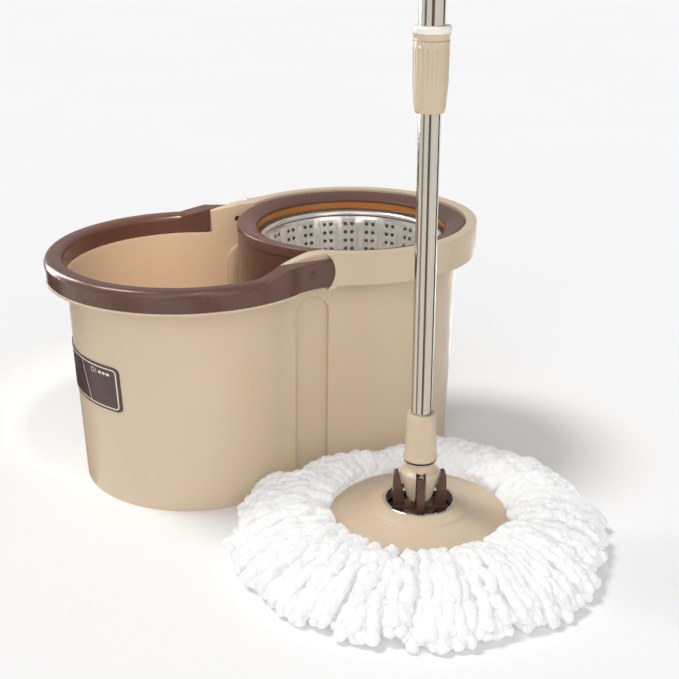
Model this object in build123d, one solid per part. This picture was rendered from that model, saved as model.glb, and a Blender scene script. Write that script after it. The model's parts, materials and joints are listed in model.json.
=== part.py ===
"""Spin mop: a two-lobed bucket with a spin-dry basket, and a press-to-spin mop standing beside it.

Row frame, millimetres: +Z up, origin on the floor under the bucket, +X along the bucket from the wash lobe to
the spin lobe. The mop stands in front (-Y), turned by MOP_TURN about its own axis, so that its
own X axis is the axis of the tilt pin.
"""

import math
import os

from build123d import *

# --- bucket, driving dimensions -------------------------------------------------------------------
WASH_X, SPIN_X = -93.0, 76.0        # lobe centres on the X axis
WASH_R, SPIN_R = 110.0, 100.0       # lobe radii where the wall meets the floor
WAIST_R = 100.0                     # concave radius of the waist at the floor
DRAFT = 1.8                         # wall draft, degrees
WALL = 2.5
FLOOR_Z = 7.0                       # underside of the bucket's floor, above its foot rim
FLANGE_Z = 204.0                    # top of the low rim that the carrying handle lies on
RIM_Z = 234.0                       # top of the high rim round the spin lobe
RIM_OUT = 25.0                      # how far both rims stand out of the foot outline
SKIRT_Z = 205.0                     # lower edge of the spin lobe's skirt
SEAT_R, SEAT_Z = 114.6, 222.0       # recess that the splash guard's ring sits in
LABEL_Y, LABEL_Z0, LABEL_Z1 = 70.0, 95.0, 139.0     # half width and height of the label on the wash end

# --- carrying handle ------------------------------------------------------------------------------
PIVOT_X, PIVOT_Z = -12.0, 218.5
HANDLE_IN, HANDLE_OUT = 7.0, 25.0   # inner and outer offset of the handle from the foot outline
HANDLE_Z0, HANDLE_Z1 = 204.5, 223.5
EAR_Y, EAR_Z1, EAR_R = 105.5, 229.0, 22.0   # pivot ears: inner face, top, round end about the pivot
BLOCK_Y, BLOCK_X = 105.0, -38.0     # outer face and end of the rim blocks that the ears swing past
SWING_R = 31.5                      # nothing of the handle inside the blocks' width comes nearer the pivot
PIN_R = 3.0

# --- spin side ------------------------------------------------------------------------------------
BASKET_R = 93.4                     # over the rolled rim
BASKET_Z0, BASKET_Z1 = 120.0, 216.0
SHAFT_R = 4.0
POST_Z1 = 104.0

# --- mop ------------------------------------------------------------------------------------------
MOP_X, MOP_Y, MOP_TURN = 38.0, -233.0, -23.6
DISC_R = 80.0
DISC_RIM_Z, DISC_TOP_Z = 25.0, 41.5
OPENING_R = 30.5
BASE_Z = 31.0                       # top of the swivel base
TILT_Z = 50.0                       # height of the tilt pin
SLOT_R, SLOT_W = 26.0, 8.2          # clevis slot of the yoke: a disc about the tilt pin
PIN_HOLE_R = 2.55
BALL_Z = 27.0                       # height of the swivel's ball track
SCREW_Z = 97.0                      # height of the sleeve's screw
LOWER_R, LOWER_T = 9.0, 0.8         # lower tube
UPPER_R, UPPER_T = 10.5, 0.7        # upper tube
LOWER_Z0, LOWER_Z1 = 84.0, 498.0
UPPER_Z0, UPPER_Z1 = 391.0, 1150.0
SLEEVE_Z0, SLEEVE_Z1 = 82.3, 125.0
COLLAR_Z0, COLLAR_Z1 = 381.0, 436.0
RING_Z1 = 447.0
BAR_W, BAR_T, BAR_LEAD = 6.0, 2.0, 120.0
BAR_Z0, BAR_Z1 = 476.0, 775.0
NUT_Z = 489.0
FRINGE_R = 172.0
EYE_Z, EYE_R = 1176.0, 5.0
TAB_T = 10.0                        # thickness of the hanging tab

os.makedirs("parts", exist_ok=True)


# --- shared shapes --------------------------------------------------------------------------------
def outline(offset):
    """Face of the two-lobed plan, grown outwards by offset from the foot outline."""
    wash_r, spin_r, waist_r = WASH_R + offset, SPIN_R + offset, WAIST_R - offset
    span = SPIN_X - WASH_X
    to_wash, to_spin = wash_r + waist_r, spin_r + waist_r
    along = (span**2 + to_wash**2 - to_spin**2) / (2 * span)
    waist_x, waist_y = WASH_X + along, math.sqrt(to_wash**2 - along**2)

    def touch(centre_x, radius, reach, side):
        share = radius / reach
        return (centre_x + (waist_x - centre_x) * share, side * waist_y * share)

    wash_back, wash_front = (touch(WASH_X, wash_r, to_wash, s) for s in (1, -1))
    spin_back, spin_front = (touch(SPIN_X, spin_r, to_spin, s) for s in (1, -1))
    edges = [
        ThreePointArc(wash_front, (WASH_X - wash_r, 0), wash_back),
        ThreePointArc(wash_back, (waist_x, waist_y - waist_r), spin_back),
        ThreePointArc(spin_back, (SPIN_X + spin_r, 0), spin_front),
        ThreePointArc(spin_front, (waist_x, waist_r - waist_y), wash_front),
    ]
    return make_face(edges)


def slab(offset, z0, z1):
    """Straight-sided prism of the plan between two heights."""
    return Pos(0, 0, z0) * extrude(outline(offset), z1 - z0)


def drafted(offset, z0, z1):
    """Prism whose walls follow the bucket's draft, offset from its outer wall."""
    lean = math.tan(math.radians(DRAFT))
    return Pos(0, 0, z0) * loft([outline(offset + z0 * lean),
                                 Pos(0, 0, z1 - z0) * outline(offset + z1 * lean)], ruled=True)


def lathe(points, x=0.0, y=0.0):
    """Solid of revolution about a vertical axis, from (radius, height) points."""
    return Pos(x, y, 0) * revolve(Plane.XZ * make_face(Polyline(*points, close=True)), Axis.Z)


def tube(r_in, r_out, z0, z1, x=0.0, y=0.0):
    return lathe([(r_in, z0), (r_out, z0), (r_out, z1), (r_in, z1)], x, y)


def rod(radius, z0, z1, x=0.0, y=0.0):
    return Pos(x, y, z0) * Cylinder(radius, z1 - z0, align=(Align.CENTER, Align.CENTER, Align.MIN))


def rod_x(radius, x0, x1, y=0.0, z=0.0):
    return Pos((x0 + x1) / 2, y, z) * Rot(0, 90, 0) * Cylinder(radius, x1 - x0)


def rod_y(radius, y0, y1, x=0.0, z=0.0):
    return Pos(x, (y0 + y1) / 2, z) * Rot(90, 0, 0) * Cylinder(radius, y1 - y0)


def block(x0, x1, y0, y1, z0, z1):
    return Pos((x0 + x1) / 2, (y0 + y1) / 2, (z0 + z1) / 2) * Box(x1 - x0, y1 - y0, z1 - z0)


def around(shape, count, x=0.0, y=0.0, start=0.0):
    """Copies of shape, turned about a vertical axis."""
    return [Pos(x, y, 0) * Rot(0, 0, start + i * 360 / count) * shape for i in range(count)]


def both_sides(shape):
    return shape + mirror(shape, about=Plane.XZ)


def save(shape, name):
    solids = shape.solids()
    export_step(solids[0] if len(solids) == 1 else Compound(children=solids), f"parts/{name}.step")


def stand_mop(shape):
    """From the mop's own frame to the row frame."""
    return Pos(MOP_X, MOP_Y, 0) * Rot(0, 0, MOP_TURN) * shape


# --- bucket ---------------------------------------------------------------------------------------
def waist_window(grow):
    """Round-topped upright panel in the waist, through both walls."""
    half, top = 17 + grow, 190 + grow
    panel = RectangleRounded(2 * half, 2 * top, half - 0.5)
    return Pos(-5, 0, 0) * extrude(Plane.XZ * panel, 200, both=True)


def rim_hollow():
    """Space inside the spin lobe's skirt and under the splash guard's seat."""
    behind = block(PIVOT_X + 27, 400, -400, 400, 0, 400)
    under = RIM_OUT - WALL
    below = slab(under, SKIRT_Z - 1, SEAT_Z - 3) - drafted(0, 0, RIM_Z)
    outside = slab(under, SEAT_Z - 4, RIM_Z - 3) - rod(SEAT_R + WALL, 200, 240, SPIN_X)
    return (below & behind) + (outside & behind)


def bucket_body():
    shell = drafted(0, 0, FLANGE_Z) - slab(-6, -1, FLOOR_Z)
    flange = slab(RIM_OUT, FLANGE_Z - WALL, FLANGE_Z)
    crown = slab(RIM_OUT, FLANGE_Z, RIM_Z) & block(BLOCK_X, 400, -400, 400, 0, 400)
    slope = make_face(Polyline((BLOCK_X - 1, 227.5), (-8, RIM_Z + 0.1), (BLOCK_X - 1, RIM_Z + 0.1), close=True))
    crown -= extrude(Plane.XZ * slope, 200, both=True)
    skirt = slab(RIM_OUT, SKIRT_Z, FLANGE_Z + 8) & block(PIVOT_X + 24, 400, -400, 400, 0, 400)
    body = shell + (flange & block(-400, PIVOT_X + 24, -400, 400, 0, 400)) + crown + skirt
    body -= both_sides(block(BLOCK_X - 1, PIVOT_X, BLOCK_Y, 140, FLANGE_Z, RIM_Z + 1))
    body -= both_sides(rod_y(EAR_R + 0.7, BLOCK_Y, 140, PIVOT_X, PIVOT_Z))
    body -= rim_hollow()
    body -= drafted(-WALL, FLOOR_Z + WALL, RIM_Z + 2)
    body -= rod(SEAT_R, SEAT_Z, RIM_Z + 1, SPIN_X)
    lined = drafted(-1, FLOOR_Z, 200) - drafted(-7, FLOOR_Z - 1, 201)
    body += lined & waist_window(3)
    pressed = drafted(4, -1, 200) - drafted(-3.5, -2, 201)
    body -= pressed & waist_window(0)
    body += tube(24.2, 27, FLOOR_Z + WALL - 0.5, 22, SPIN_X)
    body += block(-4, 4, -78, 78, 0, FLOOR_Z + 0.5)
    for hole in screw_ring(1.9, 0, 30, 16):
        body -= hole
    body -= rod_y(PIN_R + 0.05, -120, 120, PIVOT_X, PIVOT_Z)
    return max(body.solids(), key=lambda s: s.volume)


def screw_ring(radius, z0, z1, circle):
    return around(rod(radius, z0, z1, circle), 3, SPIN_X)


def splash_guard():
    """Ring round the basket's mouth, with the apron that closes the spin side off from the wash side."""
    ring = lathe([(94.5, 224.5), (94.5, 227), (99, 229.4), (106, 232), (111, 232.4), (113.4, 231),
                  (114, 228.5), (114, SEAT_Z + 0.2), (103, SEAT_Z + 0.2), (102.4, SEAT_Z - 6),
                  (100.2, SEAT_Z - 6), (99.6, 224.5)], SPIN_X)
    apron = tube(110.9, 113.3, 64, 226, SPIN_X) & block(-60, 4.5, -120, 120, 60, 230)
    apron &= drafted(-WALL - 1.0, 0, RIM_Z)
    apron -= both_sides(block(-40, 30, 77, 120, 60, 195))
    return max((ring + apron).solids(), key=lambda s: s.volume)


def guard_liner():
    """Amber inner collar held under the splash guard's lip."""
    return lathe([(95.4, 217.5), (99.4, 217.5), (99.4, 224.3), (94.8, 224.3)], SPIN_X)


def label_plate():
    window = extrude(Plane.YZ * RectangleRounded(2 * LABEL_Y, LABEL_Z1 - LABEL_Z0, 5), -400)
    curved = drafted(0.9, LABEL_Z0 - 5, LABEL_Z1 + 5) - drafted(0.1, LABEL_Z0 - 6, LABEL_Z1 + 6)
    return curved & (Pos(0, 0, (LABEL_Z0 + LABEL_Z1) / 2) * window)


def basket_post():
    post = lathe([(SHAFT_R + 0.02, 12), (24, 12), (24, 22), (14, 40), (11, POST_Z1), (SHAFT_R + 0.02, POST_Z1)],
                 SPIN_X)
    post += rod(24, FLOOR_Z + WALL + 0.1, 13, SPIN_X)
    for hole in screw_ring(1.5, 0, 26, 16):
        post -= hole
    return post


def post_screws():
    screw = rod(1.45, 4, 24, 16) + rod(3.4, 4.4, FLOOR_Z - 0.1, 16)
    return Compound(children=around(screw, 3, SPIN_X))


def carrying_handle():
    """Bail round the wash lobe: a channel, open underneath, rising at the waist into two pivot ears."""
    low, high = HANDLE_Z0, HANDLE_Z1
    band = slab(HANDLE_OUT, low, high) - slab(HANDLE_IN, low - 1, high + 1)
    band &= block(-400, PIVOT_X, -200, 200, low - 1, high + 1)
    top_edges = [e for e in band.edges() if abs(e.center().Z - high) < 0.01 and e.length > 60]
    band = fillet(top_edges, 6.0)
    hollow = slab(HANDLE_OUT - 3, low - 1, high - 3) - slab(HANDLE_IN + 3, low - 2, high - 2)
    band -= hollow & block(-400, -70, -200, 200, 0, 400)
    rise = Plane.XZ * make_face(Polyline((-76, 216), (-66, 221), (-38, EAR_Z1), (40, EAR_Z1), (40, low),
                                         (-76, low), close=True))
    ears = (slab(HANDLE_OUT, low, EAR_Z1) - slab(HANDLE_IN, low - 1, 240)) & extrude(rise, 200, both=True)
    ears &= block(-80, PIVOT_X, -200, 200, 0, 400) + rod_y(EAR_R, -200, 200, PIVOT_X, PIVOT_Z)
    ears -= block(PIVOT_X, 40, -EAR_Y, EAR_Y, 0, 400)
    body = band + ears - rod_y(SWING_R, -EAR_Y, EAR_Y, PIVOT_X, PIVOT_Z)
    body -= rod_y(PIN_R + 0.05, -120, 120, PIVOT_X, PIVOT_Z)
    return max(body.solids(), key=lambda s: s.volume)


def handle_pins():
    pin = rod_y(PIN_R, 96, 113.6, PIVOT_X, PIVOT_Z)
    return Compound(children=[pin, mirror(pin, about=Plane.XZ)])


# --- spin-dry basket ------------------------------------------------------------------------------
def basket_shell():
    shell = lathe([(12, BASKET_Z0), (74, BASKET_Z0), (80, BASKET_Z0 + 4), (83, BASKET_Z0 + 12), (89, 208),
                  (91, 212), (93, 212.6), (BASKET_R, 214.4), (92, BASKET_Z1), (89.6, 215.6), (88, 211),
                  (82, BASKET_Z0 + 12.4), (79, BASKET_Z0 + 5), (73.6, BASKET_Z0 + 1), (12, BASKET_Z0 + 1)], SPIN_X)
    for hole in screw_ring(1.6, 100, BASKET_Z0 + 5, 22):
        shell -= hole
    return shell


def hub_top():
    hub = lathe([(9.2, BASKET_Z0 + 1.1), (30, BASKET_Z0 + 1.1), (30, BASKET_Z0 + 5), (24, BASKET_Z0 + 12),
                 (17, BASKET_Z0 + 26), (14, BASKET_Z0 + 28), (SHAFT_R + 1, BASKET_Z0 + 28),
                 (SHAFT_R + 1, BASKET_Z0 + 25), (9.2, BASKET_Z0 + 25)], SPIN_X)
    for hole in screw_ring(1.5, 100, BASKET_Z0 + 8, 22):
        hub -= hole
    return hub


def hub_bottom():
    hub = lathe([(9.2, 108), (12, 108), (28, BASKET_Z0 - 4), (28, BASKET_Z0 - 0.1), (11.9, BASKET_Z0 - 0.1),
                 (11.9, BASKET_Z0 + 1.0), (9.2, BASKET_Z0 + 1.0)], SPIN_X)
    for hole in screw_ring(1.6, 100, BASKET_Z0 + 2, 22) + screw_ring(3.2, 100, BASKET_Z0 - 5.05, 22):
        hub -= hole
    return hub


def hub_bushes():
    low = tube(SHAFT_R + 0.05, 9.15, 108, 116, SPIN_X)
    return Compound(children=[low, Pos(0, 0, 26) * low])


def shaft_clip():
    """Retaining ring that keeps the basket down on its shaft."""
    return tube(SHAFT_R + 0.02, 7.2, 142.4, 143.4, SPIN_X)


def basket_shaft():
    return rod(SHAFT_R, 14, 150, SPIN_X)


def thrust_washer():
    return tube(SHAFT_R + 0.1, 9, POST_Z1 + 0.2, POST_Z1 + 2.2, SPIN_X)


def hub_screws():
    screw = rod(1.45, 112.5, BASKET_Z0 + 7, 22) + rod(3.0, 112.0, BASKET_Z0 - 5.1, 22)
    return Compound(children=around(screw, 3, SPIN_X))


# --- mop head -------------------------------------------------------------------------------------
def mop_disc():
    return lathe([(OPENING_R, DISC_TOP_Z), (OPENING_R + 3, DISC_TOP_Z), (43, 38.6), (45, 36.2), (73, 28.4),
                  (75, 28.8), (77, 28.0), (DISC_R, DISC_RIM_Z), (DISC_R, 21.5), (78, 21.5), (77, 24.5),
                  (73, 25.6), (44.6, 33.4), (40, 33.8), (36, 30), (34, 22.5), (OPENING_R, 22.5)])


def disc_race():
    """Steel ring pressed into the disc's opening, with the outer track of the ball bearing."""
    face = OPENING_R - 1.6
    lip = OPENING_R + 2.0
    return lathe([(OPENING_R - 0.05, 23), (OPENING_R - 0.05, DISC_TOP_Z + 0.1), (lip, DISC_TOP_Z + 0.1),
                  (lip, DISC_TOP_Z + 0.6), (lip - 0.6, DISC_TOP_Z + 1.0), (OPENING_R - 1.0, DISC_TOP_Z + 0.8),
                  (face, BALL_Z + 3), (face, BALL_Z + 1.6), (OPENING_R - 0.5, BALL_Z), (face, BALL_Z - 1.6),
                  (face, 23)])


def race_balls():
    """Balls that carry the swivel base in the disc, each just clear of its tracks."""
    ball = Pos(OPENING_R - 2.5, 0, BALL_Z) * Sphere(1.35)
    return Compound(children=around(ball, 20))


def swivel_base():
    """Turntable that turns in the disc and carries the claw."""
    edge = OPENING_R - 3.2
    return lathe([(0, 22.5), (edge, 22.5), (edge, BALL_Z - 2), (edge - 1.3, BALL_Z), (edge, BALL_Z + 2),
                  (edge, BASE_Z), (0, BASE_Z)])


def polygon(*points):
    """Face inside a closed line of straight pieces."""
    return make_face(Polyline(*points, close=True))


def claw():
    """Cross of four prongs: two carry the tilt pin, two stand in the yoke's slot when the pole is upright."""
    z0 = BASE_Z + 0.1
    cross = block(-23, 23, -5, 5, z0, 36) + block(-5, 5, -22, 22, z0, 36) + rod(16, z0, 34.5)
    cheek = Plane.XZ * polygon((12.6, 34), (13.0, 42), (14.2, 49), (14.7, 52), (16.0, 58.3), (17.9, 66), (18.2, 68),
                               (19.2, 68.8), (21.4, 68.6), (22.8, 66.4), (23.2, 60), (23.2, 34))
    prong = Plane.YZ * polygon((-18.2, 34), (-17.2, 50), (-15.4, 58), (-14.8, 66), (-15.4, 68.6), (-16.8, 68.4),
                               (-18.6, 65.5), (-20.2, 60), (-21.2, 50), (-22, 34))
    for side in (0, 180):
        cross += Rot(0, 0, side) * extrude(cheek, 4.2, both=True)
        cross += Rot(0, 0, side) * extrude(prong, 3.3, both=True)
    return cross - rod_x(PIN_HOLE_R, -30, 30, 0, TILT_Z)


def tilt_pin():
    return rod_x(2.5, -23.4, 23.4, 0, TILT_Z)


def yoke():
    """Clevis on the pole's foot: a cup that widens upwards, slotted from front to back."""
    plug_r = LOWER_R - LOWER_T - 0.1
    cup = lathe([(0, 43), (10.2, 43), (11.5, 46), (16.8, 66), (17.2, 69), (16.6, 70.2), (14.2, 71.8), (12.4, 74),
                 (11.7, 76.8), (12.2, 78.2), (13.2, 79), (13.2, 80.2), (plug_r, 80.2), (plug_r, 107), (0, 107)])
    cup -= rod_x(SLOT_R, -SLOT_W / 2, SLOT_W / 2, 0, TILT_Z)
    return cup - rod_x(PIN_HOLE_R, -30, 30, 0, TILT_Z)


def seal_ring():
    return tube(8.4, 14.2, 80.3, SLEEVE_Z0 - 0.1)


def lower_sleeve():
    sleeve = lathe([(LOWER_R + 0.05, SLEEVE_Z0), (14.8, SLEEVE_Z0), (14.8, SLEEVE_Z0 + 2), (14.0, SLEEVE_Z0 + 4),
                    (12.4, SLEEVE_Z1 - 3), (11.6, SLEEVE_Z1), (LOWER_R + 0.05, SLEEVE_Z1)])
    return sleeve - rod_y(2.05, 0, 30, 0, SCREW_Z)


def sleeve_screw():
    return rod_y(2.0, 9.2, 14.0, 0, SCREW_Z) + rod_y(3.2, 13.9, 15.0, 0, SCREW_Z)


def lower_tube():
    return tube(LOWER_R - LOWER_T, LOWER_R, LOWER_Z0, LOWER_Z1)


# --- press-to-spin drive, inside the pole ---------------------------------------------------------
def nut_housing():
    top = LOWER_Z1 + 6
    return lathe([(6.3, top - 24), (8.1, top - 24), (8.1, LOWER_Z1 + 0.05), (9.4, LOWER_Z1 + 0.05), (9.4, top),
                  (4.2, top), (4.2, top - 4), (6.3, top - 4)])


def drive_nut():
    return rod(6.2, NUT_Z - 3, NUT_Z + 3) - Pos(0, 0, NUT_Z) * Rot(0, 0, bar_angle(NUT_Z)) * Box(6.9, 3.9, 8)


def clutch_spring():
    return tube(4.4, 6.1, NUT_Z + 3.2, NUT_Z + 6.0)


def nut_retainer():
    return tube(4.0, 6.1, NUT_Z - 8, NUT_Z - 3.2)


def bar_angle(z):
    return 360 * (z - NUT_Z) / BAR_LEAD


def bar_between(z0, z1, grow=0.0):
    """Flat bar with a right-hand twist, lofted through turned sections."""
    count = math.ceil((z1 - z0) / 7.5)
    heights = [z0 + (z1 - z0) * i / count for i in range(count + 1)]
    section = Rectangle(BAR_W + grow, BAR_T + grow)
    return loft([Pos(0, 0, z) * Rot(0, 0, bar_angle(z)) * section for z in heights], ruled=True)


def twisted_bar():
    return bar_between(BAR_Z0, BAR_Z1)


def bar_anchor():
    """Plug in the upper tube that grips the bar's upper end."""
    plug = rod(UPPER_R - UPPER_T - 0.1, BAR_Z1 - 10, BAR_Z1 + 14)
    return plug - bar_between(BAR_Z1 - 15, BAR_Z1 + 1, 0.3)


# --- upper pole -----------------------------------------------------------------------------------
def collar_bush():
    return tube(LOWER_R + 0.06, 10.47, COLLAR_Z0 + 2.2, COLLAR_Z0 + 9)


def collar_body():
    body = lathe([(9.5, COLLAR_Z0), (11.4, COLLAR_Z0), (12.2, COLLAR_Z0 + 2), (13.3, COLLAR_Z0 + 14),
                  (14.0, COLLAR_Z0 + 22), (14.2, COLLAR_Z1), (10.55, COLLAR_Z1), (10.55, COLLAR_Z0 + 2),
                  (9.5, COLLAR_Z0 + 2)])
    for groove in around(rod(0.8, COLLAR_Z0 + 20, COLLAR_Z1 - 6, 14.5), 24):
        body -= groove
    return body


def collar_ring():
    return lathe([(10.6, COLLAR_Z1 + 0.2), (14.0, COLLAR_Z1 + 0.2), (14.0, COLLAR_Z1 + 3), (15.4, COLLAR_Z1 + 7),
                  (15.4, RING_Z1 - 1.5), (14.4, RING_Z1), (10.6, RING_Z1)])


def upper_tube():
    return tube(UPPER_R - UPPER_T, UPPER_R, UPPER_Z0, UPPER_Z1)


def hand_grip():
    points = [(UPPER_R + 0.05, 960), (12.6, 960), (13.8, 964)]
    for z in range(980, 1140, 20):
        points += [(13.8, z), (13.0, z + 2), (13.0, z + 4), (13.8, z + 6)]
    return lathe(points + [(13.8, 1146), (12.8, UPPER_Z1), (UPPER_R + 0.05, UPPER_Z1)])


def end_cap():
    cap = lathe([(0, UPPER_Z1 + 0.1), (14, UPPER_Z1 + 0.1), (14, UPPER_Z1 + 6), (12.5, UPPER_Z1 + 12),
                 (0, UPPER_Z1 + 12)])
    cap += rod(UPPER_R - UPPER_T - 0.05, UPPER_Z1 - 20, UPPER_Z1 + 1)
    cap += rod_y(11, -TAB_T / 2, TAB_T / 2, 0, EYE_Z) + block(-11, 11, -TAB_T / 2, TAB_T / 2, UPPER_Z1 + 2, EYE_Z)
    return cap - rod_y(EYE_R, -20, 20, 0, EYE_Z)


# --- mop refill -----------------------------------------------------------------------------------
def fringe_ring():
    return tube(40, 72, 15.2, 21.0)


def mop_fringe():
    """Plain envelope of the microfibre strands, dented where they press against the bucket."""
    envelope = lathe([(30, 0), (162, 0), (170, 5), (FRINGE_R, 12), (168, 20), (150, 33), (128, 43), (108, 46),
                      (90, 41), (82, 30), (81, 21), (76, 15), (30, 15)])
    envelope = stand_mop(envelope)
    return envelope - drafted(4, 0, 60)


BUCKET_PARTS = [bucket_body, splash_guard, guard_liner, label_plate, basket_post, post_screws, carrying_handle,
                handle_pins, basket_shaft, thrust_washer, shaft_clip, basket_shell, hub_top, hub_bottom,
                hub_bushes, hub_screws]
MOP_PARTS = [mop_disc, disc_race, race_balls, swivel_base, claw, tilt_pin, yoke, seal_ring, lower_sleeve,
             sleeve_screw, lower_tube, nut_housing, drive_nut, clutch_spring, nut_retainer, twisted_bar,
             bar_anchor, collar_bush, collar_body, collar_ring, upper_tube, hand_grip, end_cap, fringe_ring]

for make in BUCKET_PARTS:
    save(make(), make.__name__)
for make in MOP_PARTS:
    save(stand_mop(make()), make.__name__)
save(mop_fringe(), "mop_fringe")
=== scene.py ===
"""Spin mop and its bucket: finishes, the fringe, the steel basket, the label's print, light and camera.

Row frame: +Z up, +X from the wash lobe to the spin lobe, the mop stands on the -Y side. Shapes are laid
out in millimetres and become metres when their mesh is made; the stage and the finishes are in metres.
"""

import json
import math
import random

import bpy
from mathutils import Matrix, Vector, noise


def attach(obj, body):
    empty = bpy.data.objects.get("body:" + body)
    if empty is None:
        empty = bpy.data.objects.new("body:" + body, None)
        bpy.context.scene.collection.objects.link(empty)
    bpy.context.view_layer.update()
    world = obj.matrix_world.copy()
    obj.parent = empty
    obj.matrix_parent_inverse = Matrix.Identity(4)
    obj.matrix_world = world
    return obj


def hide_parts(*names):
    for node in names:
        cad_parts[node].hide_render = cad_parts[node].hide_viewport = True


MM = 0.001

# The bucket's outside at the floor, seen from above: two round lobes and, on the mop's side, the hollow
# curve of the waist, which counts between WAIST_SPAN along X and from WAIST_NEAR inwards. The lobes grow
# with height by WALL_LEAN, and the waist's curve shrinks by it.
WASH = Vector((-93.0, 0.0))
SPIN = Vector((76.0, 0.0))
WAIST = Vector((3.6, -186.5))
WASH_R = 110.0
SPIN_R = 100.0
WAIST_R = 100.0
WAIST_SPAN = (-42.4, 39.8)
WAIST_NEAR = -150
WALL_LEAN = math.tan(math.radians(1.8))

# The mop's axis and the edge of its disc.
MOP = Vector((38.0, -233.0))
DISC_R = 80.0
DISC_RIM_TOP = 29.6

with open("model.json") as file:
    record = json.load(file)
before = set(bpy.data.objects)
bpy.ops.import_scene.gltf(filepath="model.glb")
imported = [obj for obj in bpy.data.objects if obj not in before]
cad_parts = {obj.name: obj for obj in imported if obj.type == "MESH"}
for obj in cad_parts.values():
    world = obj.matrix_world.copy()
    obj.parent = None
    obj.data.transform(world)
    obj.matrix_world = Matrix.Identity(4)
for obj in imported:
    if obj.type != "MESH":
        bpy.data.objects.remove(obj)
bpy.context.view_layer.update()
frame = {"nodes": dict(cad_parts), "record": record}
nodes = frame["nodes"]


# --- materials ------------------------------------------------------------------------------------
# A Mix node has sockets for numbers, vectors and colours at once; these are the ones for colours.
MIX_FACTOR = 0
MIX_FIRST = 6
MIX_SECOND = 7
MIX_RESULT = 2

FLOW_DEPTH = 0.0003
GRAIN_DEPTH = 0.00001
BRUSH_DEPTH = 0.000012
CLOUD_DEPTH = 0.00005
LOOP_DEPTH = 0.0018
FLUFF_DEPTH = 0.0007
PLASTIC_BEVEL = 0.0012
STEEL_BEVEL = 0.0004
RING_BEVEL = 0.0006
FOIL_BEVEL = 0.0003
LIGHT_DEPTH = 0.006

BEIGE_TONES = ((0.645, 0.52, 0.378), (0.615, 0.49, 0.35))
RING_CREAM_TONES = ((0.90, 0.87, 0.79), (0.86, 0.83, 0.75))
FOIL_TONES = ((0.085, 0.045, 0.04), (0.06, 0.032, 0.03))
COLLAR_SPLIT = 0.4415
SPLIT_BLUR = 0.0001


class Finish:
    """A node material, built up by a few short calls."""

    def __init__(self, name):
        self.material = bpy.data.materials.new(name)
        self.material.use_nodes = True
        self.tree = self.material.node_tree
        self.tree.nodes.clear()
        self.shader = self.add("BsdfPrincipled")
        output = self.add("OutputMaterial")
        self.link(self.shader.outputs[0], output.inputs["Surface"])
        self.place = self.add("TexCoord").outputs["Object"]

    def add(self, kind, **values):
        """Adds a shader node; each value goes to the node's own setting or to its socket of that name."""
        node = self.tree.nodes.new("ShaderNode" + kind)
        for key, value in values.items():
            if hasattr(node, key):
                setattr(node, key, value)
            else:
                node.inputs[key.replace("_", " ")].default_value = value
        return node

    def link(self, source, target):
        self.tree.links.new(source, target)

    def set(self, **values):
        """Sets uniform values on the shader's sockets."""
        for key, value in values.items():
            self.shader.inputs[key.replace("_", " ")].default_value = value

    def noise(self, scale, detail=4.0, rough=0.55, stretch=(1, 1, 1)):
        """Noise in the piece's own space, drawn out along an axis where stretch is small."""
        mapping = self.add("Mapping", Scale=stretch)
        self.link(self.place, mapping.inputs["Vector"])
        texture = self.add("TexNoise", Scale=scale, Detail=detail, Roughness=rough)
        self.link(mapping.outputs[0], texture.inputs["Vector"])
        return texture.outputs["Fac"]

    def spread(self, source, low, high, start=0.3, end=0.7):
        """Maps start to end, by default most of a noise's range, onto low to high."""
        node = self.add("MapRange", From_Min=start, From_Max=end, To_Min=low, To_Max=high)
        self.link(source, node.inputs["Value"])
        return node.outputs[0]

    def blend(self, factor, first, second):
        """Colour between two others, each a tuple or a socket."""
        node = self.add("Mix", data_type="RGBA")
        self.link(factor, node.inputs[MIX_FACTOR])
        for socket, value in ((node.inputs[MIX_FIRST], first), (node.inputs[MIX_SECOND], second)):
            if isinstance(value, tuple):
                socket.default_value = (*value, 1.0)
            else:
                self.link(value, socket)
        return node.outputs[MIX_RESULT]

    def colour(self, source):
        self.link(source, self.shader.inputs["Base Color"])

    def roughness(self, source):
        self.link(source, self.shader.inputs["Roughness"])

    def bump(self, heights, bevel=0.0):
        """Bump from (height, distance in metres) pairs, on edges rounded by bevel metres."""
        normal = None
        if bevel:
            rounding = self.add("Bevel", samples=4, Radius=bevel)
            normal = rounding.outputs[0]
        for height, distance in heights:
            node = self.add("Bump", Strength=1.0, Distance=distance)
            self.link(height, node.inputs["Height"])
            if normal:
                self.link(normal, node.inputs["Normal"])
            normal = node.outputs[0]
        self.link(normal, self.shader.inputs["Normal"])


def plastic(name, base, shade, rough=(0.28, 0.42), glow=0.0, tint=None):
    """Moulded plastic: faint flow marks, a fine grain, soft edges and a little light carried inside."""
    made = Finish(name)
    flow = made.noise(scale=9.0, detail=3.0, rough=0.5, stretch=(1, 1, 0.35))
    grain = made.noise(scale=1400.0, detail=2.0, rough=0.5)
    made.colour(made.blend(made.spread(flow, 0, 1), base, shade))
    made.roughness(made.spread(made.noise(scale=55.0, detail=5.0, rough=0.6), *rough))
    made.bump([(flow, FLOW_DEPTH), (grain, GRAIN_DEPTH)], PLASTIC_BEVEL)
    made.set(IOR=1.48)
    if glow:
        made.set(Subsurface_Weight=glow, Subsurface_Radius=tint or base, Subsurface_Scale=LIGHT_DEPTH)
    return made.material


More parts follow.
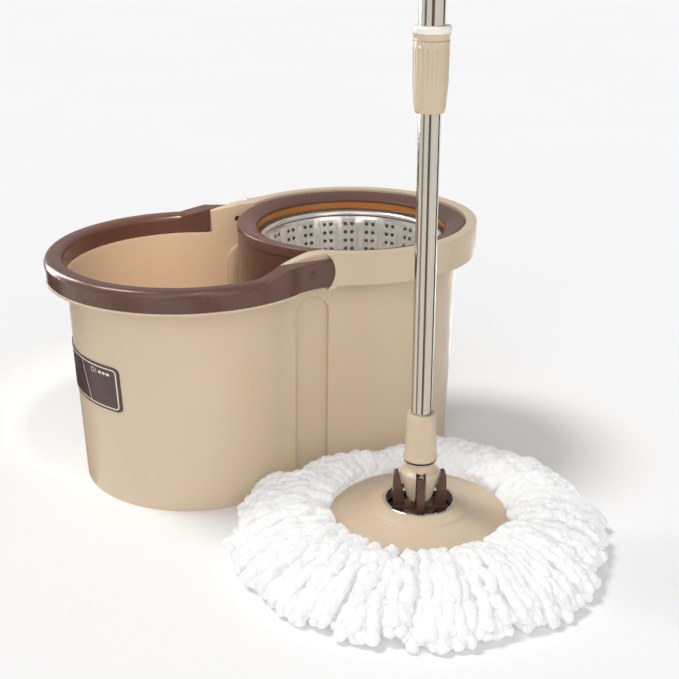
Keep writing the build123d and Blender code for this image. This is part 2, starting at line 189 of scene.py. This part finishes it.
def steel(name, base, shade, rough, stretch, scale, metal=1.0):
    """Brushed steel: colour and roughness run in fine lines along the brushing."""
    made = Finish(name)
    lines = made.noise(scale=scale, detail=3.0, rough=0.7, stretch=stretch)
    cloud = made.noise(scale=30.0, detail=3.0, rough=0.5)
    made.colour(made.blend(made.spread(lines, 0, 1), base, shade))
    made.roughness(made.spread(lines, *rough))
    made.bump([(lines, BRUSH_DEPTH), (cloud, CLOUD_DEPTH)], STEEL_BEVEL)
    made.set(Metallic=metal)
    return made.material


def microfibre():
    """White looped microfibre: fluffy bump at two scales, painted shade in the hollows between loops, a
    soft sheen and a faint painted glow from emission that brightens it all over.
    """
    made = Finish("microfibre_white")
    loops = made.noise(scale=420.0, detail=4.0, rough=0.65)
    fluff = made.noise(scale=1700.0, detail=3.0, rough=0.7)
    clumps = made.noise(scale=60.0, detail=2.0, rough=0.5)
    raised = made.blend(made.spread(clumps, 0, 1), (0.97, 0.97, 0.965), (0.93, 0.93, 0.93))
    # Painted shade: where the loop noise is low, the hollows between loops take the darker grey (0.88).
    made.colour(made.blend(made.spread(loops, 0, 1, start=0.25, end=0.55), (0.88, 0.88, 0.89), raised))
    made.roughness(made.spread(fluff, 0.85, 1.0))
    made.bump([(loops, LOOP_DEPTH), (fluff, FLUFF_DEPTH)])
    made.set(Sheen_Weight=0.35, Sheen_Roughness=0.6, Specular_IOR_Level=0.15)
    made.set(Subsurface_Weight=0.4, Subsurface_Scale=LIGHT_DEPTH, Subsurface_Radius=(1.0, 1.0, 1.0))
    # Painted glow: a faint white emission that brightens the whole fringe, though it is no lamp.
    made.set(Emission_Color=(1.0, 1.0, 1.0, 1.0), Emission_Strength=0.22)
    return made.material


def two_tone_ring():
    """Satin plastic for the ring on the collar, cream above COLLAR_SPLIT and beige below it."""
    made = Finish("collar_ring_plastic")
    height = made.add("SeparateXYZ")
    made.link(made.place, height.inputs[0])
    below, over = COLLAR_SPLIT - SPLIT_BLUR, COLLAR_SPLIT + SPLIT_BLUR
    above = made.spread(height.outputs["Z"], 0, 1, start=below, end=over)
    flow = made.noise(scale=9.0, detail=3.0)
    beige = made.blend(made.spread(flow, 0, 1), *BEIGE_TONES)
    cream = made.blend(made.spread(flow, 0, 1), *RING_CREAM_TONES)
    made.colour(made.blend(above, beige, cream))
    made.roughness(made.spread(made.noise(scale=55.0, detail=5.0, rough=0.6), 0.28, 0.42))
    made.bump([(made.noise(scale=1400.0, detail=2.0), GRAIN_DEPTH)], RING_BEVEL)
    return made.material


def label_foil():
    """Dark printed foil with faint horizontal rolling marks."""
    made = Finish("label_foil")
    lines = made.noise(scale=500.0, detail=2.0, rough=0.6, stretch=(1, 1, 12))
    made.colour(made.blend(made.spread(lines, 0, 1), *FOIL_TONES))
    made.roughness(made.spread(made.noise(scale=80.0), 0.3, 0.45))
    made.bump([(lines, GRAIN_DEPTH)], FOIL_BEVEL)
    return made.material


BEIGE = plastic("beige_plastic", *BEIGE_TONES, glow=0.08, tint=(1.0, 0.7, 0.45))
BROWN = plastic("brown_plastic", (0.128, 0.060, 0.044), (0.110, 0.052, 0.038), rough=(0.18, 0.30))
# Painted shade: the inner wall below the guard ring is beige plastic, darkened and warmed to amber as it
# looks in shadow.
AMBER_PAINTED_SHADE = plastic("amber_painted_shade_plastic", (0.55, 0.20, 0.04), (0.42, 0.14, 0.03), rough=(0.15, 0.3))
CREAM = plastic("cream_plastic", (0.86, 0.80, 0.68), (0.80, 0.74, 0.62), glow=0.1)
DARK = plastic("dark_plastic", (0.03, 0.02, 0.018), (0.02, 0.015, 0.014), rough=(0.3, 0.45))
NYLON = plastic("nylon_natural", (0.80, 0.79, 0.73), (0.74, 0.73, 0.67), rough=(0.4, 0.55))
TUBE = steel("tube_steel", (0.66, 0.61, 0.53), (0.58, 0.53, 0.45), rough=(0.10, 0.16),
             stretch=(1, 1, 0.02), scale=900.0)
SHEET = steel("basket_steel", (0.88, 0.87, 0.84), (0.80, 0.79, 0.76), rough=(0.16, 0.26),
              stretch=(0.05, 0.05, 1), scale=700.0, metal=0.7)
# Painted shade: the steel rims of the basket's holes get a dark orange-brown, standing in for the shaded
# amber wall seen through the holes.
HOLE_RIM_SHADE = plastic("hole_rim_painted_shade", (0.20, 0.085, 0.035), (0.16, 0.07, 0.03), rough=(0.3, 0.4))
BRIGHT = steel("bright_steel", (0.80, 0.80, 0.79), (0.74, 0.74, 0.73), rough=(0.08, 0.16),
               stretch=(1, 1, 1), scale=300.0)
FOIL = label_foil()
FIBRE = microfibre()
COLLAR_RING = two_tone_ring()

FINISHES = {
    "beige": BEIGE, "brown": BROWN, "amber": AMBER_PAINTED_SHADE, "label": FOIL, "dark": DARK, "cream": CREAM,
    "nylon": NYLON, "stainless": TUBE, "bright_steel": BRIGHT, "microfibre": FIBRE,
}


# --- CAD nodes and shared mesh code ---------------------------------------------------------------
def weld(piece, gap):
    """Joins points that lie closer than gap metres."""
    modifier = piece.modifiers.new("weld", "WELD")
    modifier.merge_threshold = gap


def crease(piece, angle):
    """Keeps edges crisp where faces meet at more than angle degrees."""
    modifier = piece.modifiers.new("edges", "EDGE_SPLIT")
    modifier.split_angle = math.radians(angle)


def paint_cad_nodes():
    """Gives each CAD node its slot's finish, and smooth shading across its curved faces."""
    for part in frame["record"]["subparts"]:
        node = nodes[part["node"]]
        node.data.materials.clear()
        finish = COLLAR_RING if part["node"] == "collar_ring" else FINISHES[part["material_slot"]]
        node.data.materials.append(finish)
        node.data.shade_smooth()
        weld(node, gap=1e-6)
        crease(node, angle=32)


def mesh_object(name, points, faces, finish, body):
    """A smooth-shaded piece from points in millimetres."""
    mesh = bpy.data.meshes.new(name)
    mesh.from_pydata([(x * MM, y * MM, z * MM) for x, y, z in points], [], faces)
    mesh.materials.append(finish)
    mesh.shade_smooth()
    made = bpy.data.objects.new(name, mesh)
    bpy.context.scene.collection.objects.link(made)
    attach(made, body)
    return made


def smoothstep(value):
    """Eased value between 0 and 1."""
    value = min(1.0, max(0.0, value))
    return value * value * (3 - 2 * value)


def lerp_table(table, key):
    """Piecewise-linear value from (key, value) rows."""
    for (k0, v0), (k1, v1) in zip(table, table[1:]):
        if key <= k1:
            return v0 + (v1 - v0) * max(0.0, (key - k0) / (k1 - k0))
    return table[-1][1]


# --- fringe ---------------------------------------------------------------------------------------
# The fringe's top as (distance from the mop's axis, height) rows. The strands come from under the disc's
# rim; some of the topmost ones start on it.
CROWN = [(76, 20), (84, 30), (92, 38), (104, 43.5), (120, 42), (138, 36), (152, 27), (164, 16), (173, 7)]
OVER_RIM = [(75, 36), (82, 40), (92, 43), (104, 45.5), (120, 43), (138, 37), (152, 28), (164, 17), (173, 8)]
FRINGE_R = CROWN[-1][0]

# Each layer lies at this share of the height between the floor and the fringe's top.
LAYERS = (0.08, 0.38, 0.72, 1.0)
TOP_LAYER = LAYERS[-1]
OVER_SHARE = 0.4
STRANDS = 392
FRINGE_SEED = 11
ANGLE_SPREAD = 0.8
RINGS = 60
SIDES = 10

# A strand's own choices: its radius, reach, sway sideways, waves along it and lift half way. Tufts of
# neighbouring strands share part of their reach, sway and lift.
STRAND_R = (4.5, 5.8)
REACH = 163
REACH_SPREAD = 7
REACH_TUFT = 9
BOTTOM_SHORTER = 4
START_SPREAD = 5
SWAY_SPREAD = 0.03
SWAY_TUFT = 0.10
WAVES = (1.5, 3.2)
WAVE_PHASE = (0, 6.28)
WOBBLE = (0.8, 2.4)
LIFT = (-2.5, 1.5)
LIFT_TUFT = 3.5

# How a strand lies, as shares of its radius, and how it keeps off the floor and the bucket.
STRAND_WIDE = 1.05
STRAND_FLAT = 0.92
LOWEST_MIDDLE = 0.75
BOTTOM_MIDDLE = 0.85
RIM_MIDDLE = 0.8
RIM_MARGIN = 3
FLOOR_GAP = 0.4
BUCKET_GAP = 9.5
GAP_HEIGHT = 30
REACH_FROM = 90.0
REACH_STEP = 2
CUT_SHORT = 6

# Lumps on a strand as (size in millimetres, share of its radius), and its ends in steps along its path.
KNOBS = ((4.6, 0.42), (2.1, 0.26), (13, 0.22))
TIP_STEPS = 3.2
ROOT_STEPS = 2.5
ROOT_CLOSE = 0.35


def wall_gap(x, y, z):
    """Distance from a point to the bucket's outer wall, near enough to keep strands off it."""
    grow = WALL_LEAN * z
    if WAIST_SPAN[0] < x < WAIST_SPAN[1] and y > WAIST_NEAR:
        return WAIST_R - grow - math.hypot(x - WAIST.x, y - WAIST.y)
    wash = math.hypot(x - WASH.x, y - WASH.y) - WASH_R - grow
    spin = math.hypot(x - SPIN.x, y - SPIN.y) - SPIN_R - grow
    return min(wash, spin)


def reach(angle, wanted):
    """How far a strand can run from the mop's axis before it meets the bucket."""
    radius = REACH_FROM
    while radius < wanted:
        x, y = MOP.x + radius * math.cos(angle), MOP.y + radius * math.sin(angle)
        if wall_gap(x, y, GAP_HEIGHT) < BUCKET_GAP:
            break
        radius += REACH_STEP
    return radius


def patch(angle, size, level):
    """Noise that changes slowly round the mop, so that it is nearly the same for neighbours."""
    return noise.noise(Vector((math.cos(angle) * size, math.sin(angle) * size, level)))


class Strand:
    """One strand: out from the disc's rim, over the strands below it, down to the floor."""

    def __init__(self, angle, layer, draw):
        self.angle = angle
        self.layer = layer
        self.radius = draw.uniform(*STRAND_R)
        tuft = patch(angle, 5, layer)
        wanted = REACH + REACH_TUFT * tuft + draw.uniform(-REACH_SPREAD, REACH_SPREAD)
        if layer == LAYERS[0]:
            wanted -= BOTTOM_SHORTER
        self.over = layer == TOP_LAYER and draw.random() < OVER_SHARE
        self.crown = OVER_RIM if self.over else CROWN
        self.start = self.crown[0][0] + (draw.uniform(0, START_SPREAD) if self.over else 0)
        self.end = reach(angle, wanted)
        self.cut_short = self.end < wanted - CUT_SHORT
        self.sway = SWAY_TUFT * patch(angle, 9, 3.0) + draw.uniform(-SWAY_SPREAD, SWAY_SPREAD)
        self.waves = draw.uniform(*WAVES)
        self.phase = draw.uniform(*WAVE_PHASE)
        self.wobble = draw.uniform(*WOBBLE)
        self.lift = draw.uniform(*LIFT) + LIFT_TUFT * tuft

    def height(self, out, t):
        """Height of the centre line at distance out from the axis, share t of the way along."""
        full = self.start + (FRINGE_R - self.start) * t
        top = lerp_table(self.crown, full if self.cut_short else out)
        top = top - self.radius + self.lift * math.sin(math.pi * t)
        low = self.radius * BOTTOM_MIDDLE
        height = low + (top - low) * self.layer
        height += math.sin(self.waves * 9 * t + self.phase) * smoothstep(t * 4)
        if self.over and out < DISC_R + RIM_MARGIN:
            height = max(height, DISC_RIM_TOP + self.radius * RIM_MIDDLE)
        return max(height, self.radius * LOWEST_MIDDLE)

    def point(self, t):
        """Point of the centre line, share t of the way along."""
        out = self.start + (self.end - self.start) * t
        bend = self.sway * t + self.wobble / out * math.sin(self.waves * 6.28 * t + self.phase)
        x = MOP.x + out * math.cos(self.angle + bend)
        y = MOP.y + out * math.sin(self.angle + bend)
        return Vector((x, y, self.height(out, t)))


def taper(steps_left, length):
    """Rounded end: 0 at the tip, 1 once length steps away from it."""
    if steps_left >= length:
        return 1.0
    return math.sqrt(max(0.0, 1 - ((length - steps_left) / length) ** 2))


def swell(where):
    """How far a strand's surface stands out at a place, 1 on average."""
    value = 1.0
    for size, share in KNOBS:
        value += share * noise.noise(where / size)
    return value


def strand_ring(centre, along, radius, close, seed):
    """One knobbly ring of points round a strand."""
    side = along.cross(Vector((0, 0, 1))).normalized()
    up = side.cross(along)
    ring = []
    for k in range(SIDES):
        turn = 2 * math.pi * k / SIDES
        spot = side * math.cos(turn) * STRAND_WIDE + up * math.sin(turn) * STRAND_FLAT
        knobby = swell(centre + spot * radius + seed)
        spot = centre + spot * radius * knobby * close
        ring.append((spot.x, spot.y, max(spot.z, FLOOR_GAP)))
    return ring


def strand_mesh(strand, points, faces):
    """Adds one chenille strand, knobbly all over and round at both ends, to the lists.

    The seed shifts the noise, so that each strand has lumps of its own.
    """
    base = len(points)
    seed = Vector((base * 0.37 % 91, base * 0.11 % 77, 0))
    path = [strand.point(i / (RINGS - 1)) for i in range(RINGS)]
    for i, centre in enumerate(path):
        along = (path[min(i + 1, RINGS - 1)] - path[max(i - 1, 0)]).normalized()
        close = taper(RINGS - 1 - i, TIP_STEPS) * max(ROOT_CLOSE, taper(i, ROOT_STEPS))
        points += strand_ring(centre, along, strand.radius, close, seed)
    for i in range(RINGS - 1):
        for k in range(SIDES):
            a, b = base + i * SIDES + k, base + i * SIDES + (k + 1) % SIDES
            faces.append((a, b, b + SIDES, a + SIDES))
    faces.append(tuple(base + (RINGS - 1) * SIDES + k for k in range(SIDES)))
    faces.append(tuple(base + SIDES - 1 - k for k in range(SIDES)))


def build_fringe():
    """All strands as one piece; neighbours take turns in the layers, from the floor up."""
    draw = random.Random(FRINGE_SEED)
    points, faces = [], []
    for index in range(STRANDS):
        layer = LAYERS[index % len(LAYERS)]
        angle = 2 * math.pi * (index + draw.uniform(-ANGLE_SPREAD, ANGLE_SPREAD)) / STRANDS
        strand_mesh(Strand(angle, layer, draw), points, faces)
    fringe = mesh_object("fringe_strands", points, faces, FIBRE, "mop_head")
    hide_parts("mop_fringe")


# --- spin basket ----------------------------------------------------------------------------------
# The wall as (height, radius) rows, and the floor as (radius, height) points from the wall inwards.
BASKET_WALL = [(121.0, 74.0), (124.0, 79.5), (132.0, 82.6), (208.0, 88.4), (212.0, 90.6)]
BASKET_FLOOR = [(81.5, 128.4), (79.5, 124.0), (77, 122.0), (73.6, 121.0), (60, 120.6), (45, 121.2),
                (12.5, 120.6)]
WALL_FOOT = 128.0
WALL_TOP = 211.0
RIM_R = 90.3
RIM_Z = 213.2
RIM_ROLL = 2.4
SHEET_THICK = 1.1
RING_STEPS = 144

# A panel's columns run between these shares of its width; its ribs take up the outermost ones.
PANELS = 24
COLUMN_EDGES = (0.0, 0.13, 0.19, 0.5, 0.81, 0.87, 1.0)
HOLED_COLUMNS = (2, 3)
RIB_SHARE = 0.13
RIB_DEPTH = 1.1
RIB_FADE_LOW = 8
RIB_FADE_HIGH = 5
PANEL_TOP = 207.0
ROW_STEP = 9.0
ROWS = [(PANEL_TOP - ROW_STEP * (i + 1), PANEL_TOP - ROW_STEP * i) for i in range(8)]
HOLE_R = 2.0
HOLE_SIDES = 16
HOLED_WALL_R = 86


def basket_point(turn, z):
    """Point on the basket's wall; turn counts panels, and each panel's edges stand in as a soft rib."""
    edge = min(turn % 1.0, 1 - turn % 1.0)
    fade = smoothstep((z - WALL_FOOT) / RIB_FADE_LOW) * smoothstep((PANEL_TOP - z) / RIB_FADE_HIGH)
    radius = lerp_table(BASKET_WALL, z) - RIB_DEPTH * (1 - smoothstep(edge / RIB_SHARE)) * fade
    angle = 2 * math.pi * turn / PANELS
    return (SPIN.x + radius * math.cos(angle), SPIN.y + radius * math.sin(angle), z)


def holed_cell(turn0, turn1, z0, z1, points, faces):
    """One wall cell with a round hole in it."""
    mid_turn, mid_z = (turn0 + turn1) / 2, (z0 + z1) / 2
    half_turn, half_z = (turn1 - turn0) / 2, (z1 - z0) / 2
    hole_turn = HOLE_R / (2 * math.pi * HOLED_WALL_R / PANELS)
    base = len(points)
    for k in range(HOLE_SIDES):
        angle = 2 * math.pi * k / HOLE_SIDES
        c, s = math.cos(angle), math.sin(angle)
        square = 1 / max(abs(c), abs(s))
        points.append(basket_point(mid_turn + half_turn * c * square, mid_z + half_z * s * square))
        points.append(basket_point(mid_turn + hole_turn * c, mid_z + HOLE_R * s))
    for k in range(HOLE_SIDES):
        a, b = base + 2 * k, base + 2 * ((k + 1) % HOLE_SIDES)
        faces.append((a, b, b + 1, a + 1))


def plain_cell(turn0, turn1, z0, z1, points, faces):
    """One wall cell without a hole."""
    base = len(points)
    for turn, z in ((turn0, z0), (turn1, z0), (turn1, z1), (turn0, z1)):
        points.append(basket_point(turn, z))
    faces.append((base, base + 1, base + 2, base + 3))


def basket_column(start, end, cell, points, faces):
    """One column of wall cells, with a plain cell above and below."""
    for z0, z1 in ROWS:
        cell(start, end, z0, z1, points, faces)
    plain_cell(start, end, PANEL_TOP, WALL_TOP, points, faces)
    plain_cell(start, end, WALL_FOOT, ROWS[-1][0], points, faces)


def ring_strip(profile, points, faces):
    """Surface of revolution about the spin axis, from (radius, height) points."""
    base, count = len(points), len(profile)
    for i in range(RING_STEPS):
        angle = 2 * math.pi * i / RING_STEPS
        for radius, z in profile:
            points.append((SPIN.x + radius * math.cos(angle), SPIN.y + radius * math.sin(angle), z))
    for i in range(RING_STEPS):
        for k in range(count - 1):
            a, b = base + i * count + k, base + (i + 1) % RING_STEPS * count + k
            faces.append((a, b, b + 1, a + 1))


def rolled_rim():
    """The rim's roll as (radius, height) points, open underneath."""
    turns = [math.radians(angle) for angle in range(200, -150, -25)]
    return [(RIM_R + RIM_ROLL * math.cos(turn), RIM_Z + RIM_ROLL * math.sin(turn)) for turn in turns]


def build_basket():
    """Perforated steel basket with ribbed panels, a rolled rim and a plain floor."""
    points, faces = [], []
    for panel in range(PANELS):
        for column, (start, end) in enumerate(zip(COLUMN_EDGES, COLUMN_EDGES[1:])):
            cell = holed_cell if column in HOLED_COLUMNS else plain_cell
            basket_column(panel + start, panel + end, cell, points, faces)
    ring_strip(BASKET_FLOOR, points, faces)
    ring_strip(rolled_rim(), points, faces)
    basket = mesh_object("basket_perforated", points, faces, SHEET, "basket")
    # Second finish, painted shade for the holes' rims; the solidify below puts it on them.
    basket.data.materials.append(HOLE_RIM_SHADE)
    weld(basket, gap=0.00005)
    solid = basket.modifiers.new("sheet", "SOLIDIFY")
    solid.thickness = SHEET_THICK * MM
    solid.offset = 0
    solid.material_offset_rim = 1
    crease(basket, angle=35)
    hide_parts("basket_shell")


# --- label print ----------------------------------------------------------------------------------
# The label's face is wrapped on the wash lobe: y runs across it and z up it.
LABEL_Y = 70.0
LABEL_Z0 = 95.0
LABEL_Z1 = 139.0
PRINT_LIFT = 1.05
PRINT_STEP = 2
FRAME_INSET = 2.6
FRAME_CORNER = 3.2
CORNER_STEPS = 5
RULE_INSET = 3.2
BADGE_Y = -40
BADGE_Z = 131
BADGE_R = 2.2


def on_label(y, z):
    """Point just above the label's face."""
    radius = WASH_R + WALL_LEAN * z + PRINT_LIFT
    return (WASH.x - math.sqrt(radius**2 - y**2), y, z)


def stroke(path, width, points, faces, closed=False):
    """Flat printed line along (y, z) points, evenly resampled so that it follows the curve."""
    dense = []
    ends = list(zip(path, path[1:] + path[:1])) if closed else list(zip(path, path[1:]))
    for (y0, z0), (y1, z1) in ends:
        count = max(1, int(math.hypot(y1 - y0, z1 - z0) / PRINT_STEP))
        dense += [(y0 + (y1 - y0) * i / count, z0 + (z1 - z0) * i / count) for i in range(count)]
    if not closed:
        dense.append(path[-1])
    base, total = len(points), len(dense)
    for i, (y, z) in enumerate(dense):
        before = dense[(i - 1) % total] if closed or i else dense[i]
        after = dense[(i + 1) % total] if closed or i < total - 1 else dense[i]
        dy, dz = after[0] - before[0], after[1] - before[1]
        size = math.hypot(dy, dz) or 1.0
        ny, nz = -dz / size * width / 2, dy / size * width / 2
        points.append(on_label(y + ny, z + nz))
        points.append(on_label(y - ny, z - nz))
    for i in range(total if closed else total - 1):
        a, b = base + 2 * i, base + 2 * ((i + 1) % total)
        faces.append((a, b, b + 1, a + 1))


def rounded_frame(inset, corner):
    """Rounded rectangle, inset from the label's edge, as (y, z) points."""
    side = LABEL_Y - inset - corner
    low, high = LABEL_Z0 + inset + corner, LABEL_Z1 - inset - corner
    corners = ((side, high, 0), (-side, high, 90), (-side, low, 180), (side, low, 270))
    path = []
    for centre_y, centre_z, start in corners:
        for step in range(CORNER_STEPS + 1):
            angle = math.radians(start + 90 * step / CORNER_STEPS)
            path.append((centre_y + corner * math.cos(angle), centre_z + corner * math.sin(angle)))
    return path


def build_label_print():
    """Generic printing: a light frame, a slanted rule, a round badge and a few bars in place of words."""
    points, faces = [], []
    stroke(rounded_frame(FRAME_INSET, FRAME_CORNER), 1.1, points, faces, closed=True)
    stroke([(-22, LABEL_Z1 - RULE_INSET), (-33, LABEL_Z0 + RULE_INSET)], 0.9, points, faces)
    turns = [k * math.pi / 6 for k in range(12)]
    badge = [(BADGE_Y + BADGE_R * math.cos(turn), BADGE_Z + BADGE_R * math.sin(turn)) for turn in turns]
    stroke(badge, 0.6, points, faces, closed=True)
    stroke([(-44.5, BADGE_Z + 2.5), (-44.5, BADGE_Z - 2.5)], 0.5, points, faces)
    for start, end in ((-48, -51.6), (-53, -56), (-57.4, -61)):
        stroke([(start, BADGE_Z), (end, BADGE_Z)], 2.4, points, faces)
    for z, end in ((118, 22), (112, 30), (106, 12)):
        stroke([(48, z), (end, z)], 1.2, points, faces)
    mesh_object("label_print", points, faces, CREAM, "bucket")


# --- lock mark ------------------------------------------------------------------------------------
# The mark's face as (radius, height above the collar) rings, round a point in its middle.
MARK_TURN = math.radians(-155.6)
MARK_Z = 431.5
MARK_FROM_AXIS = 14.15
MARK_MIDDLE = 0.45
MARK_RINGS = ((0.8, 0.4), (1.35, 0.1), (1.5, -0.5))
MARK_SIDES = 16


def build_collar_mark():
    """Small raised lock mark on the pole's collar."""
    outward = Vector((math.cos(MARK_TURN), math.sin(MARK_TURN), 0))
    side = Vector((-outward.y, outward.x, 0))
    centre = Vector((MOP.x, MOP.y, MARK_Z)) + outward * MARK_FROM_AXIS
    points, faces = [tuple(centre + outward * MARK_MIDDLE)], []
    for ring, (radius, lift) in enumerate(MARK_RINGS):
        for k in range(MARK_SIDES):
            angle = 2 * math.pi * k / MARK_SIDES
            spot = side * math.cos(angle) * radius + Vector((0, 0, math.sin(angle) * radius))
            points.append(tuple(centre + spot + outward * lift))
        for k in range(MARK_SIDES):
            a, b = 1 + ring * MARK_SIDES + k, 1 + ring * MARK_SIDES + (k + 1) % MARK_SIDES
            faces.append((0, a, b) if ring == 0 else (a - MARK_SIDES, a, b, b - MARK_SIDES))
    mesh_object("collar_mark", points, faces, CREAM, "lock_collar")


# --- stage ----------------------------------------------------------------------------------------
FLOOR_HALF = 20
FLOOR_COLOUR = (0.90, 0.90, 0.905)
WORLD_COLOUR = (1.0, 0.995, 0.985, 1)
WORLD_STRENGTH = 0.40
GLOW_COLOUR = (1.0, 0.98, 0.94)
BASIN_COLOUR = (1.0, 0.74, 0.56)

# Flags are slices of floor seen only in reflections. Their angles count from the camera's side, which
# lies VIEW_TURN degrees round from -Y.
VIEW_TURN = 28
FLAG_NEAR = 0.25
FLAG_FAR = 3.5
GLOW_FAR = 0.75
FLAG_LIFT = 0.0006
FLAG_WALL = 2.5


def stage_plane(name, corners, colour, faces=((0, 1, 2, 3),), glow=0.0):
    """Matt stage piece, which isn't part of the object."""
    made = Finish(name)
    made.set(Roughness=0.9, Specular_IOR_Level=0.0)
    tone = made.noise(scale=2.0, detail=2.0)
    made.colour(made.blend(made.spread(tone, 0, 1), colour, tuple(c * 0.99 for c in colour)))
    if glow:
        made.set(Emission_Color=(*colour, 1.0), Emission_Strength=glow)
    mesh = bpy.data.meshes.new(name)
    mesh.from_pydata(corners, [], faces)
    mesh.materials.append(made.material)
    plane = bpy.data.objects.new(name, mesh)
    bpy.context.scene.collection.objects.link(plane)
    return plane


def around(centre, radius, angle, height):
    """Stage point at a distance and an angle, from the camera's side, about a point of the part."""
    turn = math.radians(angle - VIEW_TURN)
    return (centre.x * MM + radius * math.sin(turn), centre.y * MM - radius * math.cos(turn), height)


def slice_corners(centre, far, start, end):
    """Corners of a slice of floor between two angles."""
    return [around(centre, FLAG_NEAR, start, FLAG_LIFT), around(centre, FLAG_NEAR, end, FLAG_LIFT),
            around(centre, far, end, FLAG_LIFT), around(centre, far, start, FLAG_LIFT)]


def show_in_reflections_only(piece):
    for ray in ("visible_camera", "visible_diffuse", "visible_shadow", "visible_transmission"):
        setattr(piece, ray, False)


def dark_flag(name, start, end, colour):
    """Slice of floor about the mop that turns up into a wall, for what its tubes reflect level."""
    corners = slice_corners(MOP, FLAG_FAR, start, end)
    corners += [around(MOP, FLAG_FAR, end, FLAG_WALL), around(MOP, FLAG_FAR, start, FLAG_WALL)]
    show_in_reflections_only(stage_plane(name, corners, colour, faces=((0, 1, 2, 3), (3, 2, 4, 5))))


def glow_flag(name, centre, start, end, glow):
    """Short bright slice of floor, for a light edge low on one lobe."""
    corners = slice_corners(centre, GLOW_FAR, start, end)
    show_in_reflections_only(stage_plane(name, corners, GLOW_COLOUR, glow=glow))


def hang(data, travel, place=(0, 0, 0)):
    """Puts a lamp in the scene, with its light travelling along a direction."""
    lamp = bpy.data.objects.new(data.name, data)
    lamp.location = place
    lamp.rotation_euler = Vector(travel).to_track_quat("-Z", "Y").to_euler()
    bpy.context.scene.collection.objects.link(lamp)
    return lamp


def soft_sun(name, travel, strength, spread):
    """Distant light, with shadows softened over spread degrees."""
    data = bpy.data.lights.new(name, "SUN")
    data.energy = strength
    data.angle = math.radians(spread)
    hang(data, travel)


def basin_spot(place, target, power):
    """Warm spot that fills the inside of the wash basin."""
    data = bpy.data.lights.new("basin_spot", "SPOT")
    data.energy = power
    data.color = BASIN_COLOUR
    data.spot_size = math.radians(20)
    data.spot_blend = 0.6
    data.shadow_soft_size = 0.08
    hang(data, Vector(target) - Vector(place), place)


def glossy_strip(name, place, target, size, power):
    """Panel of light that shows in glossy surfaces and leaves matt ones as they are."""
    data = bpy.data.lights.new(name, "AREA")
    data.shape = "RECTANGLE"
    data.size, data.size_y = size
    data.energy = power
    lamp = hang(data, Vector(target) - Vector(place), place)
    lamp.visible_diffuse = False


def build_world():
    """Even pale light from all round."""
    world = bpy.data.worlds.new("studio")
    world.use_nodes = True
    background = world.node_tree.nodes["Background"]
    background.inputs["Color"].default_value = WORLD_COLOUR
    background.inputs["Strength"].default_value = WORLD_STRENGTH
    bpy.context.scene.world = world


def build_stage():
    """Pale floor and world, key light from behind on the left, soft fill from the front."""
    corners = [(x * FLOOR_HALF, y * FLOOR_HALF, 0) for x, y in ((-1, -1), (1, -1), (1, 1), (-1, 1))]
    stage_plane("floor", corners, FLOOR_COLOUR)
    dark_flag("flag_middle", -4, 20, (0.16, 0.12, 0.10))
    dark_flag("flag_right", 106, 128, (0.01, 0.01, 0.01))
    dark_flag("flag_left", -138, -104, (0.01, 0.01, 0.01))
    dark_flag("flag_left_soft", -66, -46, (0.30, 0.27, 0.24))
    glow_flag("glow_left", WASH, -152, -132, glow=3.0)
    glow_flag("glow_right", SPIN, 140, 160, glow=2.5)
    build_world()
    soft_sun("key_back_left", travel=(0.46, -0.38, -1.0), strength=1.65, spread=20)
    soft_sun("fill_front", travel=(0.3, 0.9, -0.35), strength=1.6, spread=80)
    basin_spot(place=(-0.12, -0.30, 0.80), target=(-0.10, 0.07, 0.15), power=22.0)
    glossy_strip("strip_left", place=(-0.9, 1.2, 0.6), target=(-0.2, 0.0, 0.12), size=(0.5, 1.4), power=30)


# --- camera ---------------------------------------------------------------------------------------
CAMERA_PLACE = (-0.4002, -1.0602, 0.5536)
CAMERA_YAW = math.radians(-23.62)
CAMERA_PITCH = math.radians(21.21)
CAMERA_LENS = 63.6
SENSOR = 36


def build_camera():
    """Camera on the mop's side, looking along +Y but turned by its yaw and tipped down by its pitch."""
    data = bpy.data.cameras.new("camera")
    data.sensor_width = SENSOR
    data.lens = CAMERA_LENS
    camera = bpy.data.objects.new("camera", data)
    camera.location = CAMERA_PLACE
    level = math.cos(CAMERA_PITCH)
    forward = Vector((-math.sin(CAMERA_YAW) * level, math.cos(CAMERA_YAW) * level, -math.sin(CAMERA_PITCH)))
    camera.rotation_euler = forward.to_track_quat("-Z", "Y").to_euler()
    bpy.context.scene.collection.objects.link(camera)
    bpy.context.scene.camera = camera


paint_cad_nodes()
build_fringe()
build_basket()
build_label_print()
build_collar_mark()
build_stage()
build_camera()
bpy.context.scene.view_settings.view_transform = "Standard"
